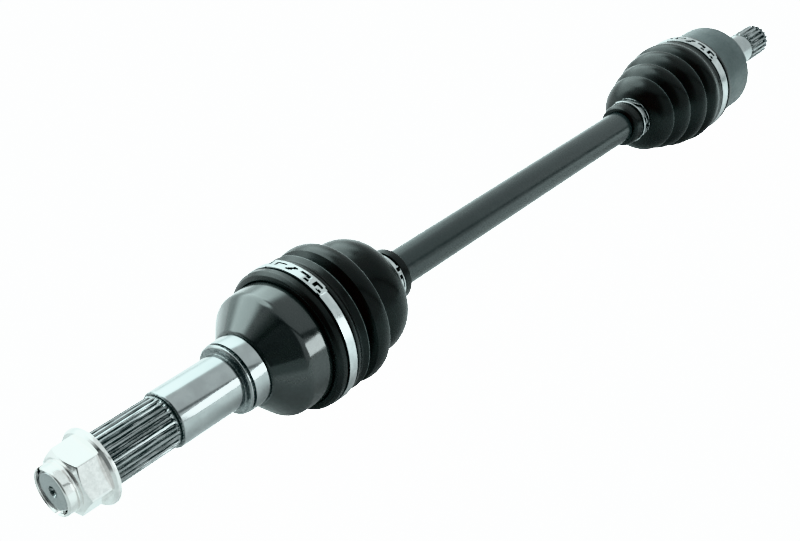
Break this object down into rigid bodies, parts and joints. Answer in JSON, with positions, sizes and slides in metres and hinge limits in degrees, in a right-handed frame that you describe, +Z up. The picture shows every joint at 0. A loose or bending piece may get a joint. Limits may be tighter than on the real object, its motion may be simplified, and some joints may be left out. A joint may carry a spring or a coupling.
{
  "type": "cv axle",
  "caption": "Drive axle with a fixed ball joint and splined wheel stub at one end, a plunging ball joint and splined gearbox stub at the other, both under clamped bellows boots.",
  "frame": {"origin": "centre of the axle's overall box, on the axle's centreline", "axes": "+X along the axle from the wheel nut towards the gearbox stub, +Z up, joints straight"},
  "size_m": [0.6826, 0.0796, 0.0804],
  "materials": {
    "zinc_plate": "bright zinc plate",
    "ground_steel": "ground and lightly oiled",
    "ball_steel": "polished bearing steel",
    "spring_steel": "dark phosphated spring steel",
    "stainless_band": "bright rolled stainless strip",
    "black_paint": "semi-gloss black paint",
    "grey_paint": "satin dark grey paint",
    "boot_rubber": "smooth semi-gloss black elastomer"
  },
  "bodies": {
    "shaft": {"axle_bar": "black_paint", "outer_joint_race": "ground_steel", "inner_joint_race": "ground_steel", "outer_race_circlip": "spring_steel", "inner_race_circlip": "spring_steel", "outer_boot_small_clamp": "stainless_band", "inner_boot_small_clamp": "stainless_band"},
    "outer_cage": {"outer_joint_cage": "ground_steel", "outer_joint_ball_1": "ball_steel", "outer_joint_ball_2": "ball_steel", "outer_joint_ball_3": "ball_steel", "outer_joint_ball_4": "ball_steel", "outer_joint_ball_5": "ball_steel", "outer_joint_ball_6": "ball_steel"},
    "outer_housing": {"outer_housing": "ground_steel", "outer_boot_large_clamp": "stainless_band", "outer_boot": "boot_rubber"},
    "axle_nut": {"axle_nut": "zinc_plate"},
    "inner_cage": {"inner_joint_cage": "ground_steel", "inner_joint_ball_1": "ball_steel", "inner_joint_ball_2": "ball_steel", "inner_joint_ball_3": "ball_steel", "inner_joint_ball_4": "ball_steel", "inner_joint_ball_5": "ball_steel", "inner_joint_ball_6": "ball_steel"},
    "inner_housing": {"inner_housing": "grey_paint", "inner_boot_large_clamp": "stainless_band", "inner_joint_stopper_ring": "spring_steel", "inner_stub_snap_ring": "spring_steel", "inner_boot": "boot_rubber"}
  },
  "joints": [
    {"name": "outer_joint_swing", "type": "hinge", "parent": "shaft", "child": "outer_housing", "pos_m": [-0.20025, 0, 0], "axis": [0, 0, 1], "range_deg": [-42, 42], "deforming": ["outer_boot"]},
    {"name": "outer_cage_swing", "type": "hinge", "parent": "shaft", "child": "outer_cage", "pos_m": [-0.20025, 0, 0], "axis": [0, 0, 1], "range_deg": [-21, 21]},
    {"name": "inner_joint_swing", "type": "hinge", "parent": "shaft", "child": "inner_cage", "pos_m": [0.23175, 0, 0], "axis": [0, 1, 0], "range_deg": [-20, 20], "deforming": ["inner_boot"]},
    {"name": "inner_joint_plunge", "type": "slide", "parent": "inner_cage", "child": "inner_housing", "axis": [1, 0, 0], "range_m": [-0.01, 0.01]},
    {"name": "axle_nut_turn", "type": "hinge", "parent": "outer_housing", "child": "axle_nut", "pos_m": [-0.32975, 0, 0], "axis": [1, 0, 0], "continuous": true}
  ],
  "couplings": [
    {"joint": "outer_cage_swing", "follows": "outer_joint_swing", "ratio": 0.5}
  ]
}
